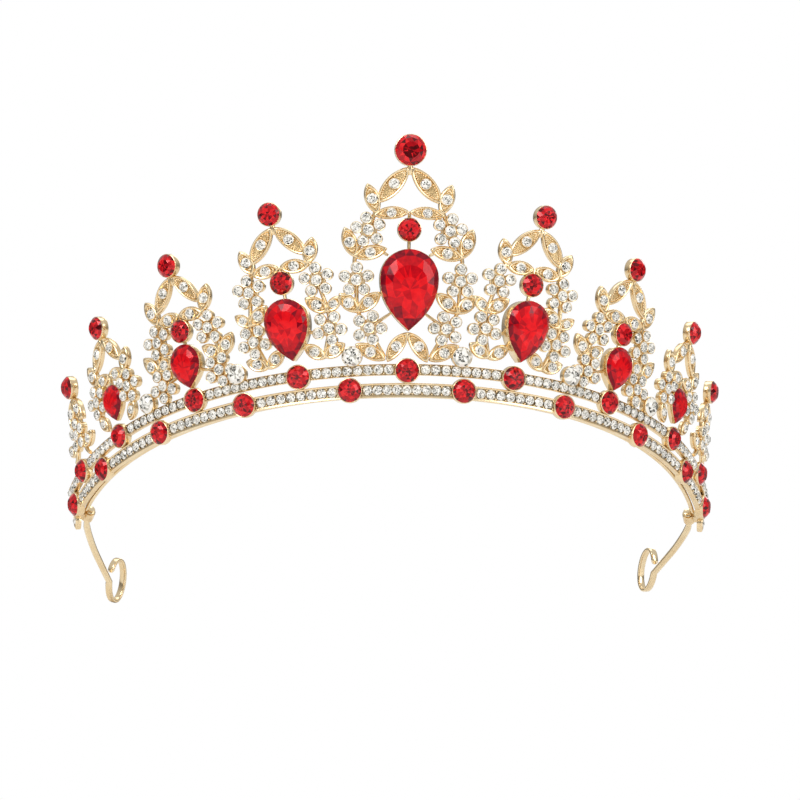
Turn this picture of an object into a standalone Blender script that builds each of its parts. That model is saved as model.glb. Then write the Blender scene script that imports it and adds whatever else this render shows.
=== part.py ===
"""Crown: a cast double-rail tiara with nine crests, set stones, a rim wire and two side arms.

The castings are laid out flat and then curved to the head, as the real ones are bent over a
mandrel. Flat coordinates are (across, up, out) in millimetres: "up" starts at the line through
the upper rail's stones, and "out" starts at the castings' back face. Each crest has its own
layout, drawn for its right half, where "across" grows away from the crest's middle line.
"""
import math

import bmesh
import bpy
from mathutils import Matrix, Vector

MM = 0.001

# ---- Head form -------------------------------------------------------------------------------
BAND_RADIUS = 77.0                    # back face of the band, at the upper rail's line
FLARE = math.radians(5.0)             # the band leans outward towards the top
ARCH_RADIUS = 236.0                   # the flat pattern is an arc, which drops the band's ends

# ---- Rails -----------------------------------------------------------------------------------
RAIL_DEPTH = 1.3
UPPER_RAIL = (-1.3, 1.3)              # lower and upper edge
LOWER_RAIL = (-6.2, -2.7)
LOWER_LINE = -4.05                    # the line through the lower rail's red stones
RAIL_END = 106.2                      # half length along the arc
RAIL_STEP = 5.2                       # length of one straight facet of a rail
WELD = 0.001                          # points closer than this are one
BEND_STEP = 7.0                       # widest stretch of a casting that stays flat
CREST_STATIONS = (0.0, 24.1, 49.8, 74.5, 93.4)
CREST_LEANS = tuple(math.radians(a) for a in (0.0, 3.5, -1.2, -4.4, -9.0))
LOWER_STATIONS = (12.85, 37.7, 61.5, 84.1, 102.2)
ACCENTS = ((11.9, 3.45), (38.1, 3.1), (63.0, 3.3))     # station and height of each clear stone

# ---- Settings and stones ---------------------------------------------------------------------
SEAT_SIDES = 8
WALL = 0.35                           # bezel wall
SIDE_GAP = 0.22                       # stone to bezel, sideways
BED_GAP = 0.3                         # stone to the floor of its seat
FLOOR = 0.5                           # floor of a seat above the back face
RAIL_STONE = 2.3                      # stone radii
CENTRE_TOP_STONE = 3.4
SMALL_STONE = 2.2
ACCENT_STONE = 1.95
BEZEL_TOP = 1.8                       # height of a round bezel's rim
CROWN_RISE = 0.5                      # a round stone's rise over its girdle, as a share of radius
PEAR_RISE = 0.3                       # and a pear-shaped stone's, as a share of half its width
PEAR_RIM = (1.1, -1.75, 4.0)          # a pear bezel's depth: slope by half width, start, most
NECK_GAP = 0.35                       # clearance that the castings keep to each other
DROP_POWER = 2.2                      # fullness of a pear-shaped stone's flanks

# ---- Castings --------------------------------------------------------------------------------
LEAF_DEPTH = 1.2                      # leaves and the bars between them
LEAF_WIDTH = 3.0
FLOWER_DEPTH = 1.6
PETAL_PITCH = 2.75                    # petal centres to the flower's centre
PETAL_RADIUS = 1.45
SPINE_WIDTH = 1.1
STRUT_WIDTH = 0.8

# ---- Rim wire, knuckles and side arms --------------------------------------------------------
RIM_WIRE = (-5.5, -0.95)              # height and depth of its centre
RIM_WIRE_RADIUS = 0.5
RIM_WIRE_END = 102.0
KNUCKLE_LINE = (-5.3, -2.2)           # height and depth of the hinge axis
KNUCKLE_SPAN = (103.6, 106.8)         # along the arc
KNUCKLE_RADIUS = 1.5
KNUCKLE_BORE = 0.9
ARM_PIN = 0.58                        # radius of the arm's end inside the knuckle
ARM_BODY = 0.8                        # radius of the arm behind it
ARM_HEAD = (0.5, 1.2)                 # length and radius of the upset head that keeps the arm in
ARM_PLAY = 0.35                       # end play between head and knuckle
# the arm's run from the knuckle, as (inward, back, up)
ARM_RUN = ((-0.1, 2.6, -1.5), (1.0, 5.4, -3.5), (2.0, 8.4, -6.7), (3.9, 11.4, -9.9),
           (5.5, 14.2, -13.4))
ARM_SWING = {-1: 0.0, 1: math.radians(17.0)}  # the right arm rests swung towards the head
LOOP_ALONG = (-0.08, 0.25, -1.0)      # the end loop's long direction, as (inward, back, up)
LOOP_ACROSS = (0.56, 0.83, 0.0)       # and its short direction
LOOP_HALF = (4.9, 2.9)                # half length and half width of the arm's end loop
LOOP_STRIP = (1.7, 0.8)               # the loop's flat strip: width and thickness
LOOP_TURN = math.radians(335.0)
ROUND_CUT = 0.29                      # corner cuts, as a share of thickness: round wire, flat strip
STRIP_CUT = 0.12

GOLD = ("gold", (0.86, 0.64, 0.34), 0.24, 1.0)
WIRE_GOLD = ("wire_gold", (0.88, 0.68, 0.40), 0.28, 1.0)
RED = ("red_glass", (0.62, 0.01, 0.03), 0.08, 0.0)
CLEAR = ("clear_glass", (0.86, 0.87, 0.86), 0.08, 0.0)

# Each layout: radius and height of the top stone, height of the second stone, the pear stone
# (centre height, half width, length), then one half's spine, leaves (base, tip), flowers
# (centre, turn in degrees) and struts.
CENTRE_CREST = {
    "top": (CENTRE_TOP_STONE, 49.0),
    "second": 31.3,
    "pear": (20.3, 6.3, 17.6),
    "spine": ((0.0, 45.6), (3.0, 41.6), (6.6, 36.4), (8.7, 31.2), (11.5, 25.4), (11.2, 20.1),
              (10.9, 13.2), (8.4, 9.4), (7.0, 6.5), (5.0, 3.0)),
    "leaves": (((0.3, 44.8), (6.2, 38.0)), ((6.7, 35.2), (9.6, 41.1)), ((7.2, 34.6), (0.2, 35.2)),
               ((11.6, 25.3), (14.5, 31.3)), ((11.6, 25.3), (5.6, 26.8)),
               ((10.9, 13.0), (14.3, 15.8)), ((10.9, 13.0), (6.9, 16.7)),
               ((5.0, 3.4), (10.2, 6.2)), ((4.6, 3.4), (2.9, 7.6)), ((3.6, 6.9), (-0.6, 8.0))),
    "flowers": (((8.7, 31.2), 100.0), ((11.2, 20.1), 90.0), ((8.4, 9.4), 50.0)),
    "struts": (((8.4, 9.4), (3.6, 12.8)), ((6.4, 26.6), (4.4, 25.6)), ((7.2, 16.6), (5.4, 16.9)),
               ((0.0, 34.9), (0.0, 33.0)), ((0.0, 29.6), (0.0, 26.6))),
}
FIRST_CREST = {
    "top": (SMALL_STONE, 36.9),
    "second": 21.3,
    "pear": (12.6, 4.85, 13.6),
    "spine": ((0.0, 34.6), (2.8, 31.0), (6.0, 26.6), (7.7, 20.6), (8.9, 13.6), (8.6, 9.6),
              (7.2, 5.5), (6.4, 3.1)),
    "leaves": (((0.4, 34.2), (6.0, 28.0)), ((6.4, 25.2), (8.5, 30.6)), ((6.4, 24.8), (0.2, 25.3)),
               ((8.8, 13.3), (11.8, 15.9)), ((8.8, 13.3), (4.6, 17.0)),
               ((6.6, 3.4), (11.2, 5.6)), ((6.4, 3.2), (2.6, 6.6))),
    "flowers": (((7.7, 20.6), 90.0), ((8.6, 9.6), 55.0)),
    "struts": (((8.6, 9.6), (3.2, 9.2)), ((0.0, 25.2), (0.0, 23.0)), ((0.0, 19.6), (0.0, 17.0))),
}
SECOND_CREST = {
    "top": (SMALL_STONE, 31.1),
    "second": 15.9,
    "pear": (8.9, 3.7, 9.4),
    "spine": ((0.0, 28.6), (2.8, 24.9), (5.8, 20.4), (7.1, 15.0), (8.6, 8.6), (8.0, 5.2),
              (6.6, 3.0)),
    "leaves": (((0.4, 28.2), (5.7, 21.5)), ((6.2, 19.0), (8.6, 24.6)), ((6.0, 18.8), (0.2, 19.6)),
               ((8.7, 8.0), (12.2, 12.6)), ((8.6, 8.2), (4.6, 11.2))),
    "flowers": (((7.1, 15.0), 80.0), ((7.8, 5.2), 60.0)),
    "struts": (((7.8, 5.2), (2.6, 6.4)), ((0.0, 19.4), (0.0, 17.6)), ((0.0, 14.2), (0.0, 12.0))),
}
THIRD_CREST = {
    "top": (SMALL_STONE, 25.7),
    "second": None,
    "pear": (8.6, 3.1, 7.9),
    "spine": ((0.0, 23.2), (2.8, 18.9), (5.2, 14.8), (6.4, 9.9), (6.4, 5.4), (5.8, 3.0)),
    "leaves": (((0.4, 22.8), (4.9, 16.8)), ((5.4, 13.8), (7.8, 18.6)), ((5.2, 13.6), (0.2, 14.2)),
               ((6.6, 6.4), (4.4, 2.6))),
    "flowers": (((6.2, 9.9), 75.0),),
    "struts": (((6.2, 9.9), (2.4, 9.4)), ((0.0, 14.0), (0.0, 11.6))),
}
FOURTH_CREST = {
    "top": (SMALL_STONE, 20.1),
    "second": None,
    "pear": None,
    "spine": ((0.0, 17.6), (2.0, 13.2), (1.2, 8.4), (2.9, 4.4), (4.3, 3.0)),
    "leaves": (((0.4, 17.2), (3.6, 11.6)), ((3.2, 5.0), (7.0, 7.4))),
    "flowers": (((0.0, 8.6), 90.0),),
    "struts": (),
}
CRESTS = (CENTRE_CREST, FIRST_CREST, SECOND_CREST, THIRD_CREST, FOURTH_CREST)


def clear_scene():
    for obj in list(bpy.data.objects):
        bpy.data.objects.remove(obj, do_unlink=True)


def material(spec):
    name, colour, roughness, metallic = spec
    found = bpy.data.materials.get(name)
    if found:
        return found
    made = bpy.data.materials.new(name)
    made.use_nodes = True
    shader = made.node_tree.nodes["Principled BSDF"]
    shader.inputs["Base Color"].default_value = (*colour, 1.0)
    shader.inputs["Roughness"].default_value = roughness
    shader.inputs["Metallic"].default_value = metallic
    made.diffuse_color = (*colour, 1.0)
    return made


# ---- The flat pattern and its curve ----------------------------------------------------------
class Station:
    """A place on the band's arc, with its own across and up directions in the flat pattern."""

    def __init__(self, station, lean=0.0, side=1):
        turn = station / ARCH_RADIUS
        self.foot = (ARCH_RADIUS * math.sin(turn), ARCH_RADIUS * (math.cos(turn) - 1.0))
        self.angle = turn + lean
        self.side = side

    def flat(self, across, up):
        cos_a = math.cos(self.angle)
        sin_a = math.sin(self.angle)
        u = self.foot[0] + across * cos_a + up * sin_a
        v = self.foot[1] - across * sin_a + up * cos_a
        return (self.side * u, v)


def curve(u, v, w):
    """Take a point of the flat pattern to its place on the flared band, in metres."""
    theta = u / BAND_RADIUS
    radius = BAND_RADIUS + v * math.sin(FLARE) + w * math.cos(FLARE)
    height = v * math.cos(FLARE) - w * math.sin(FLARE)
    return Vector((radius * math.sin(theta), -radius * math.cos(theta), height)) * MM


def seat_frame(station, across, up, out):
    """A rigid stone's frame: X across, Y up, Z out of the band's face."""
    u, v = station.flat(across, up)
    tiny = 0.01
    top_u, top_v = station.flat(across, up + tiny)
    origin = curve(u, v, out)
    normal = (curve(u, v, out + 1.0) - origin).normalized()
    up_axis = curve(top_u, top_v, out) - origin
    up_axis = (up_axis - normal * up_axis.dot(normal)).normalized()
    frame = Matrix((up_axis.cross(normal), up_axis, normal)).transposed().to_4x4()
    frame.translation = origin
    return frame


# ---- Outlines --------------------------------------------------------------------------------
def circle(radius, sides=SEAT_SIDES, turn=math.pi / 2.0):
    step = 2.0 * math.pi / sides
    return [(radius * math.cos(turn + k * step), radius * math.sin(turn + k * step))
            for k in range(sides)]


def pear(half, length, grow=0.0):
    """A pear outline about its widest line: a half circle over two flanks that meet at the tip."""
    radius = half + grow
    tip = length - half + 1.5 * grow
    arc = [(radius * math.cos(a), radius * math.sin(a))
           for a in (math.pi * k / 6 for k in range(7))]
    steps = (0.45, 0.78)
    left = [(-radius * (1.0 - q ** DROP_POWER), -tip * q) for q in steps]
    right = [(-x, y) for x, y in reversed(left)]
    return arc + left + [(0.0, -tip)] + right


def leaf(base, tip, width=LEAF_WIDTH):
    """A pointed leaf from base to tip, widest a little before its middle."""
    length = math.dist(base, tip)
    along = ((tip[0] - base[0]) / length, (tip[1] - base[1]) / length)
    half = min(width, 0.62 * length) / 2.0
    shape = ((0.0, 0.3), (0.35, 1.0), (0.7, 0.8), (1.0, 0.0))
    rim = [(t * length, half * b) for t, b in shape]
    rim += [(x, -y) for x, y in reversed(rim[:-1])]
    return [(base[0] + x * along[0] - y * along[1], base[1] + x * along[1] + y * along[0])
            for x, y in rim]


def rosette(centre, turn):
    """A flower's seat plate: five petal lobes round the middle one."""
    points = []
    outer = PETAL_PITCH + PETAL_RADIUS
    for petal in range(5):
        for offset, reach in ((0.0, 0.5 * outer), (22.0, 0.96 * outer), (50.0, 0.96 * outer)):
            angle = math.radians(turn - 36.0 + 72.0 * petal + offset)
            points.append((centre[0] + reach * math.cos(angle),
                           centre[1] + reach * math.sin(angle)))
    return points


def bar(start, end, width=SPINE_WIDTH):
    """A straight bar with its ends carried past the two points by half its width."""
    length = math.dist(start, end)
    along = ((end[0] - start[0]) / length, (end[1] - start[1]) / length)
    half = width / 2.0
    corners = ((-half, -half), (length + half, -half), (length + half, half), (-half, half))
    return [(start[0] + x * along[0] - y * along[1], start[1] + x * along[1] + y * along[0])
            for x, y in corners]


# ---- Solids ----------------------------------------------------------------------------------
def mesh_object(name, bm, recalculate=True):
    mesh = bpy.data.meshes.new(name)
    if recalculate:
        bmesh.ops.recalc_face_normals(bm, faces=bm.faces)
    bm.to_mesh(mesh)
    bm.free()
    obj = bpy.data.objects.new(name, mesh)
    bpy.context.scene.collection.objects.link(obj)
    return obj


def prism(outline, low, high):
    """A flat prism in pattern coordinates, with its caps at two depths."""
    bm = bmesh.new()
    face = bm.faces.new([bm.verts.new((u, v, low)) for u, v in outline])
    grown = bmesh.ops.extrude_face_region(bm, geom=[face])
    top = [item for item in grown["geom"] if isinstance(item, bmesh.types.BMVert)]
    for vert in top:
        vert.co.z = high
    return mesh_object("prism", bm)


def placed(station, outline):
    return [station.flat(across, up) for across, up in outline]


def moved(outline, across, up):
    return [(x + across, y + up) for x, y in outline]


def mirrored(outline):
    return [(-x, y) for x, y in reversed(outline)]


def rail(low, high, depth):
    """One rail as a row of straight facets that follow the pattern's arc."""
    count = 2 * math.ceil(RAIL_END / RAIL_STEP)
    rings = []
    bm = bmesh.new()
    for k in range(count + 1):
        here = Station(-RAIL_END + 2.0 * RAIL_END * k / count)
        corners = ((low, 0.0), (high, 0.0), (high, depth), (low, depth))
        rings.append([bm.verts.new((*here.flat(0.0, up), out)) for up, out in corners])
    for before, after in zip(rings, rings[1:]):
        for k in range(4):
            n = (k + 1) % 4
            bm.faces.new((before[k], before[n], after[n], after[k]))
    bm.faces.new(rings[0])
    bm.faces.new(rings[-1])
    return mesh_object("rail", bm)


def combine(base, others, operation):
    """Union or cut base with all the others, and leave the result on base."""
    group = bpy.data.collections.new("operands")
    for other in others:
        group.objects.link(other)
    step = base.modifiers.new("combine", "BOOLEAN")
    step.operation = operation
    step.operand_type = "COLLECTION"
    step.collection = group
    step.solver = "EXACT"
    graph = bpy.context.evaluated_depsgraph_get()
    result = bpy.data.meshes.new_from_object(base.evaluated_get(graph))
    base.modifiers.clear()
    base.data = result
    for other in others:
        bpy.data.objects.remove(other, do_unlink=True)
    bpy.data.collections.remove(group)


def slice_for_bend(bm):
    """Cut a flat mesh across at even steps, so that its long faces can follow the curve."""
    across = [vert.co.x for vert in bm.verts]
    first = math.ceil(min(across) / BEND_STEP + 0.1)
    last = math.floor(max(across) / BEND_STEP - 0.1)
    for k in range(first, last + 1):
        geometry = [*bm.verts, *bm.edges, *bm.faces]
        bmesh.ops.bisect_plane(bm, geom=geometry, dist=0.001,
                               plane_co=(k * BEND_STEP, 0.0, 0.0), plane_no=(1.0, 0.0, 0.0))


def curved_casting(name, solids, pockets, slices=True):
    """Join flat solids, cut the pockets, curve the result to the head and name it."""
    base = solids[0]
    combine(base, solids[1:], "UNION")
    combine(base, pockets, "DIFFERENCE")
    bm = bmesh.new()
    bm.from_mesh(base.data)
    bmesh.ops.remove_doubles(bm, verts=bm.verts, dist=WELD)
    bmesh.ops.dissolve_limit(bm, angle_limit=math.radians(0.5), verts=bm.verts, edges=bm.edges)
    if slices:
        slice_for_bend(bm)
    bmesh.ops.triangulate(bm, faces=bm.faces)
    for vert in bm.verts:
        vert.co = curve(*vert.co)
    bpy.data.objects.remove(base, do_unlink=True)
    obj = mesh_object(name, bm, recalculate=False)
    obj.data.materials.append(material(GOLD))
    return obj


def stone(name, outline, frame, depths, insets, finish):
    """A cut stone: rings of one outline, scaled by each inset, at depths above its bed."""
    bm = bmesh.new()
    rings = []
    for depth, inset in zip(depths, insets):
        rings.append([bm.verts.new((x * inset * MM, y * inset * MM, depth * MM))
                      for x, y in outline])
    count = len(outline)
    for below, above in zip(rings, rings[1:]):
        for k in range(count):
            n = (k + 1) % count
            bm.faces.new((below[k], below[n], above[n], above[k]))
    bm.faces.new(list(reversed(rings[0])))
    bm.faces.new(rings[-1])
    obj = mesh_object(name, bm)
    obj.matrix_world = frame
    obj.data.materials.append(material(finish))
    return obj


def round_stone(name, station, across, up, radius, finish=RED):
    frame = seat_frame(station, across, up, FLOOR + BED_GAP)
    girdle = BEZEL_TOP - FLOOR - BED_GAP
    depths = (0.0, girdle, girdle + CROWN_RISE * radius)
    return stone(name, circle(radius), frame, depths, (0.6, 1.0, 0.58), finish)


def seat(station, across, up, radius):
    """A round bezel and the pocket cut into it, for a stone of this radius."""
    inner = radius + SIDE_GAP
    outer = moved(circle(inner + WALL), across, up)
    pocket = moved(circle(inner), across, up)
    return (prism(placed(station, outer), 0.0, BEZEL_TOP),
            prism(placed(station, pocket), FLOOR, BEZEL_TOP + 1.0))


def clearance(station, across, up, radius):
    """A cutter that keeps a crest clear of a bezel on the band."""
    reach = radius + SIDE_GAP + WALL + NECK_GAP
    return prism(placed(station, moved(circle(reach), across, up)), -1.0, 4.0)


# ---- Sub-parts -------------------------------------------------------------------------------
def crest_stations():
    """Every crest's index, side and station: the centre once, the others left and right."""
    for index, (place, lean) in enumerate(zip(CREST_STATIONS, CREST_LEANS)):
        for side, word in ((-1, "left"), (1, "right")):
            if index == 0 and side < 0:
                continue
            label = f"{word}_{index}" if index else "centre"
            yield index, label, Station(place, lean, side)


def flat_shapes(layout):
    """Outline and depth of a crest's leaves, flowers and bars, and whether each is on the middle."""
    for start, end in zip(layout["spine"], layout["spine"][1:]):
        yield bar(start, end), LEAF_DEPTH, False
    for base, tip in layout["leaves"]:
        yield leaf(base, tip), LEAF_DEPTH, False
    for centre, turn in layout["flowers"]:
        yield rosette(centre, turn), FLOWER_DEPTH, centre[0] == 0.0
    for start, end in layout["struts"]:
        yield bar(start, end, STRUT_WIDTH), LEAF_DEPTH, start[0] == end[0]


def build_crest(index, label, station):
    layout = CRESTS[index]
    solids = []
    pockets = []
    radius, height = layout["top"]
    bezels = [seat(station, 0.0, height, radius)]
    if layout["second"]:
        bezels.append(seat(station, 0.0, layout["second"], SMALL_STONE))
    for solid, pocket in bezels:
        solids.append(solid)
        pockets.append(pocket)
    solids.append(prism(placed(station, bar((0.0, height - 1.5 * radius), (0.0, height))),
                        0.0, LEAF_DEPTH))
    if layout["pear"]:
        middle, half, length = layout["pear"]
        outer = moved(pear(half, length, SIDE_GAP + WALL), 0.0, middle)
        inner = moved(pear(half, length, SIDE_GAP), 0.0, middle)
        solids.append(prism(placed(station, outer), 0.0, pear_rim(half)))
        pockets.append(prism(placed(station, inner), FLOOR, pear_rim(half) + 1.0))
    for outline, depth, on_middle in flat_shapes(layout):
        solids.append(prism(placed(station, outline), 0.0, depth))
        if not on_middle:
            solids.append(prism(placed(station, mirrored(outline)), 0.0, depth))
    plain = Station(CREST_STATIONS[index], 0.0, station.side)
    pockets.append(clearance(plain, 0.0, 0.0, RAIL_STONE))
    foot_line = UPPER_RAIL[1] + NECK_GAP
    below = [(-16.0, -6.0), (16.0, -6.0), (16.0, foot_line), (-16.0, foot_line)]
    pockets.append(prism(placed(plain, below), -1.0, 4.0))
    for place, up in ACCENTS:
        for side in (-1, 1):
            pockets.append(clearance(Station(place, 0.0, side), 0.0, up, ACCENT_STONE))
    return curved_casting(f"crest_{label}", solids, pockets)


def mirrored_casting(name, original):
    """The left-hand casting: the right-hand one reflected across the crown's middle."""
    bm = bmesh.new()
    bm.from_mesh(original.data)
    for vert in bm.verts:
        vert.co.x = -vert.co.x
    bmesh.ops.reverse_faces(bm, faces=bm.faces)
    obj = mesh_object(name, bm, recalculate=False)
    obj.data.materials.append(material(GOLD))
    return obj


def pear_rim(half):
    """A pear-shaped bezel's rim, deeper for a larger stone."""
    slope, start, most = PEAR_RIM
    return min(most, slope * half + start)


def build_crest_stones(index, label, station):
    layout = CRESTS[index]
    radius, height = layout["top"]
    round_stone(f"top_stone_{label}", station, 0.0, height, radius)
    if layout["second"]:
        round_stone(f"second_stone_{label}", station, 0.0, layout["second"], SMALL_STONE)
    if layout["pear"]:
        middle, half, length = layout["pear"]
        frame = seat_frame(station, 0.0, middle, FLOOR + BED_GAP)
        girdle = pear_rim(half) - FLOOR - BED_GAP
        stone(f"pear_stone_{label}", pear(half, length), frame,
              (0.0, girdle, girdle + PEAR_RISE * half), (0.6, 1.0, 0.6), RED)


def rail_stations():
    """Name, station and height of each red stone on the two rails."""
    for index, label, station in crest_stations():
        yield f"upper_stone_{label}", Station(CREST_STATIONS[index], 0.0, station.side), 0.0
    for index, place in enumerate(LOWER_STATIONS):
        for side, word in ((-1, "left"), (1, "right")):
            yield f"lower_stone_{word}_{index}", Station(place, 0.0, side), LOWER_LINE


def build_band():
    solids = [rail(*UPPER_RAIL, RAIL_DEPTH), rail(*LOWER_RAIL, RAIL_DEPTH)]
    pockets = []
    for name, station, up in rail_stations():
        solid, pocket = seat(station, 0.0, up, RAIL_STONE)
        solids.append(solid)
        pockets.append(pocket)
        round_stone(name, station, 0.0, up, RAIL_STONE)
    for index, (place, up) in enumerate(ACCENTS):
        for side, word in ((-1, "left"), (1, "right")):
            station = Station(place, 0.0, side)
            solid, pocket = seat(station, 0.0, up, ACCENT_STONE)
            solids.append(solid)
            pockets.append(pocket)
            round_stone(f"clear_stone_{word}_{index}", station, 0.0, up, ACCENT_STONE, CLEAR)
    for side in (-1, 1):
        end = Station(RAIL_END, 0.0, side)
        solids.append(prism(placed(end, leaf((-1.5, -5.0), (0.2, -8.1))), 0.0, LEAF_DEPTH))
        tube, bore = knuckle(side)
        solids += tube
        pockets.append(bore)
    return curved_casting("band_casting", solids, pockets, slices=False)


def flat_axis_tube(side, radius, start, end, sides=SEAT_SIDES):
    """A round bar along the hinge line, in pattern coordinates."""
    bm = bmesh.new()
    rings = []
    for place in (start, end):
        here = Station(place, 0.0, side)
        up_line, out_line = KNUCKLE_LINE
        rings.append([bm.verts.new((*here.flat(0.0, up_line + y), out_line + x))
                      for x, y in circle(radius, sides, math.pi / sides)])
    count = len(rings[0])
    for k in range(count):
        n = (k + 1) % count
        bm.faces.new((rings[0][k], rings[0][n], rings[1][n], rings[1][k]))
    bm.faces.new(rings[0])
    bm.faces.new(rings[1])
    return mesh_object("tube", bm)


def knuckle(side):
    """The rolled tube behind each end of the lower rail, its solder block and its bore."""
    start, end = KNUCKLE_SPAN
    up_line, out_line = KNUCKLE_LINE
    tube = flat_axis_tube(side, KNUCKLE_RADIUS, start, end)
    here = Station(start, 0.0, side)
    block_end = RAIL_END - start
    block = prism(placed(here, [(0.2, up_line - 0.7), (block_end, up_line - 0.7),
                                (block_end, up_line + 1.2), (0.2, up_line + 1.2)]),
                  out_line + 0.6, 0.3)
    bore = flat_axis_tube(side, KNUCKLE_BORE, start - 2.0, end + 2.0)
    return [tube, block], bore


def sweep(name, path, sections, side_axes):
    """Carry a closed section along a path, each point with its own section and side axis."""
    bm = bmesh.new()
    rings = []
    last = len(path) - 1
    for k, point in enumerate(path):
        ahead = path[min(k + 1, last)] - path[max(k - 1, 0)]
        ahead.normalize()
        side_axis = side_axes[k] - ahead * side_axes[k].dot(ahead)
        side_axis.normalize()
        other = ahead.cross(side_axis)
        rings.append([bm.verts.new((point + side_axis * x + other * y) * MM)
                      for x, y in strip_section(*sections[k])])
    count = len(rings[0])
    for before, after in zip(rings, rings[1:]):
        for k in range(count):
            n = (k + 1) % count
            bm.faces.new((before[k], before[n], after[n], after[k]))
    bm.faces.new(rings[0])
    bm.faces.new(rings[-1])
    obj = mesh_object(name, bm)
    obj.data.materials.append(material(WIRE_GOLD))
    return obj


def strip_section(width, thickness, cut_share=ROUND_CUT):
    """An eight-sided section: a strip of the given width and thickness with cut corners."""
    cut = cut_share * thickness
    x = width / 2.0
    y = thickness / 2.0
    return [(x, -y + cut), (x, y - cut), (x - cut, y), (cut - x, y),
            (-x, y - cut), (-x, cut - y), (cut - x, -y), (x - cut, -y)]


def build_rim_wire():
    steps = 2 * math.ceil(RIM_WIRE_END / RAIL_STEP)
    up, out = RIM_WIRE
    path = []
    for k in range(steps + 1):
        u, v = Station(-RIM_WIRE_END + 2.0 * RIM_WIRE_END * k / steps).flat(0.0, up)
        path.append(curve(u, v, out) / MM)
    size = 2.0 * RIM_WIRE_RADIUS
    count = len(path)
    return sweep("rim_wire", path, [(size, size)] * count, [Vector((0.0, 0.0, 1.0))] * count)


def hinge_line(side):
    """Two points of the hinge axis: the knuckle's front and back faces, in millimetres."""
    up, out = KNUCKLE_LINE
    ends = []
    for place in KNUCKLE_SPAN:
        u, v = Station(place, 0.0, side).flat(0.0, up)
        ends.append(curve(u, v, out) / MM)
    return ends


def smooth_run(points, steps):
    """A Catmull-Rom curve through the points, sampled evenly between each pair."""
    padded = [2.0 * points[0] - points[1], *points, 2.0 * points[-1] - points[-2]]
    run = []
    for a, b, c, d in zip(padded, padded[1:], padded[2:], padded[3:]):
        for k in range(steps):
            t = k / steps
            run.append(0.5 * (2.0 * b + (c - a) * t + (2.0 * a - 5.0 * b + 4.0 * c - d) * t * t
                              + (3.0 * b - a - 3.0 * c + d) * t ** 3))
    run.append(points[-1])
    return run


def mixed(first, second, share):
    return tuple(a + (b - a) * share for a, b in zip(first, second))


def build_arm(side):
    front, back = hinge_line(side)
    axis = (back - front).normalized()
    inward = Vector((-side, 0.0, 0.0))
    exit_point = back + axis * ARM_PLAY
    knots = [exit_point]
    for inner, rear, rise in ARM_RUN:
        knots.append(exit_point + inward * inner + Vector((0.0, rear, rise)))
    run = smooth_run(knots, 3)
    inner, rear, rise = LOOP_ALONG
    along = (inward * inner + Vector((0.0, rear, rise))).normalized()
    inner, rear, rise = LOOP_ACROSS
    across = inward * inner + Vector((0.0, rear, rise))
    across = (across - along * across.dot(along)).normalized()
    flat_axis = along.cross(across)
    half_long, half_wide = LOOP_HALF
    middle = run[-1] + across * half_wide
    steps = 20
    loop = []
    for k in range(1, steps + 1):
        turn = LOOP_TURN * k / steps
        loop.append(middle - across * (half_wide * math.cos(turn))
                    + along * (half_long * math.sin(turn)))
    head_length, head_radius = ARM_HEAD
    head = front - axis * ARM_PLAY
    path = [head - axis * head_length, head - axis * 0.02, head, *run, *loop]
    pin = (2.0 * ARM_PIN, 2.0 * ARM_PIN, ROUND_CUT)
    wire = (2.0 * ARM_BODY, 2.0 * ARM_BODY, ROUND_CUT)
    strip = (*LOOP_STRIP, STRIP_CUT)
    upset = (2.0 * head_radius, 2.0 * head_radius, ROUND_CUT)
    sections = [upset, upset, pin]
    for k in range(len(run)):
        here = mixed(pin, wire, min(1.0, k / 3.0))
        sections.append(mixed(here, strip, max(0.0, (k - len(run) + 5) / 4.0)))
    sections += [strip] * steps
    name = f"side_arm_{'left' if side < 0 else 'right'}"
    obj = sweep(name, path, sections, [flat_axis] * len(path))
    pivot = (front + back) * 0.5 * MM
    obj.data.transform(Matrix.Rotation(ARM_SWING[side], 4, axis) @ Matrix.Translation(-pivot))
    obj.location = pivot
    return obj


def stand_on_origin():
    """Shift everything so that the bottom centre of the whole object is the origin."""
    bpy.context.view_layer.update()
    corners = [obj.matrix_world @ vert.co for obj in bpy.data.objects for vert in obj.data.vertices]
    low = [min(c[k] for c in corners) for k in range(3)]
    high = [max(c[k] for c in corners) for k in range(3)]
    shift = Vector((-(low[0] + high[0]) / 2.0, -(low[1] + high[1]) / 2.0, -low[2]))
    for obj in bpy.data.objects:
        obj.location += shift


def main():
    clear_scene()
    build_band()
    for index, label, station in crest_stations():
        if station.side > 0:
            right = build_crest(index, label, station)
            if index:
                mirrored_casting(f"crest_left_{index}", right)
        build_crest_stones(index, label, station)
    build_rim_wire()
    for side in (-1, 1):
        build_arm(side)
    stand_on_origin()


main()
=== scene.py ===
import math
import random

import bmesh
import bpy
from mathutils import Matrix, Vector


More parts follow.
